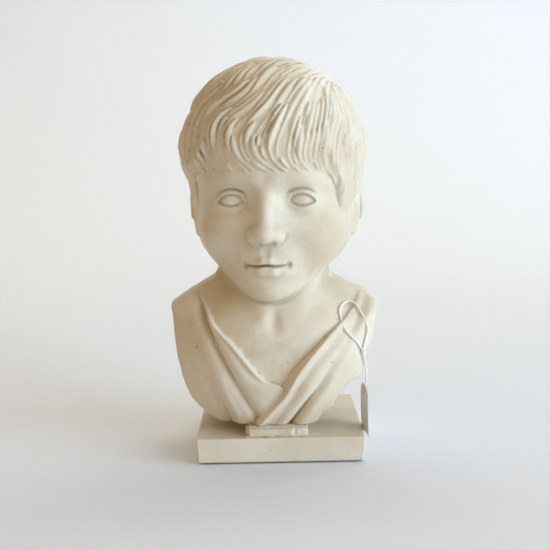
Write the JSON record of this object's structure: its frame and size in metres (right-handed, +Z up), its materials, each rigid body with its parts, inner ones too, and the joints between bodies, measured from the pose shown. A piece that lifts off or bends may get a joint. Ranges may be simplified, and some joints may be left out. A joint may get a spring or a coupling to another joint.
{
  "type": "marble bust",
  "caption": "Stone portrait bust of a boy with a combed fringe and a folded tunic, on a support block and square base, with a blank swing tag on a string.",
  "frame": {"origin": "the centre of the base's underside, at the level of the felt, under the base's middle", "axes": "+Z up; the bust faces -Y; +X is to the right of a viewer who faces it"},
  "size_m": [0.186, 0.1962, 0.3472],
  "materials": {
    "carved_stone": "aged cream marble, matt, with a warm stain and fine pits",
    "block_stone": "rough dressed stone smeared with plaster",
    "base_stone": "smooth honed cream stone with worn edges",
    "plaster": "set plaster, matt",
    "steel": "zinc-plated steel",
    "felt": "pressed wool felt",
    "cotton_string": "twisted white cotton",
    "card": "blank uncoated white card",
    "brass": "pressed eyelet"
  },
  "bodies": {
    "root": {"bust": "carved_stone", "support_block": "block_stone", "base_slab": "base_stone", "upper_setting_bed": "plaster", "lower_setting_bed": "plaster", "threaded_rod": "steel", "grout_plug": "plaster", "penny_washer": "steel", "hex_nut": "steel", "felt_sheet": "felt", "tag_string": "cotton_string", "tag_card": "card", "tag_eyelet": "brass"}
  },
  "joints": []
}
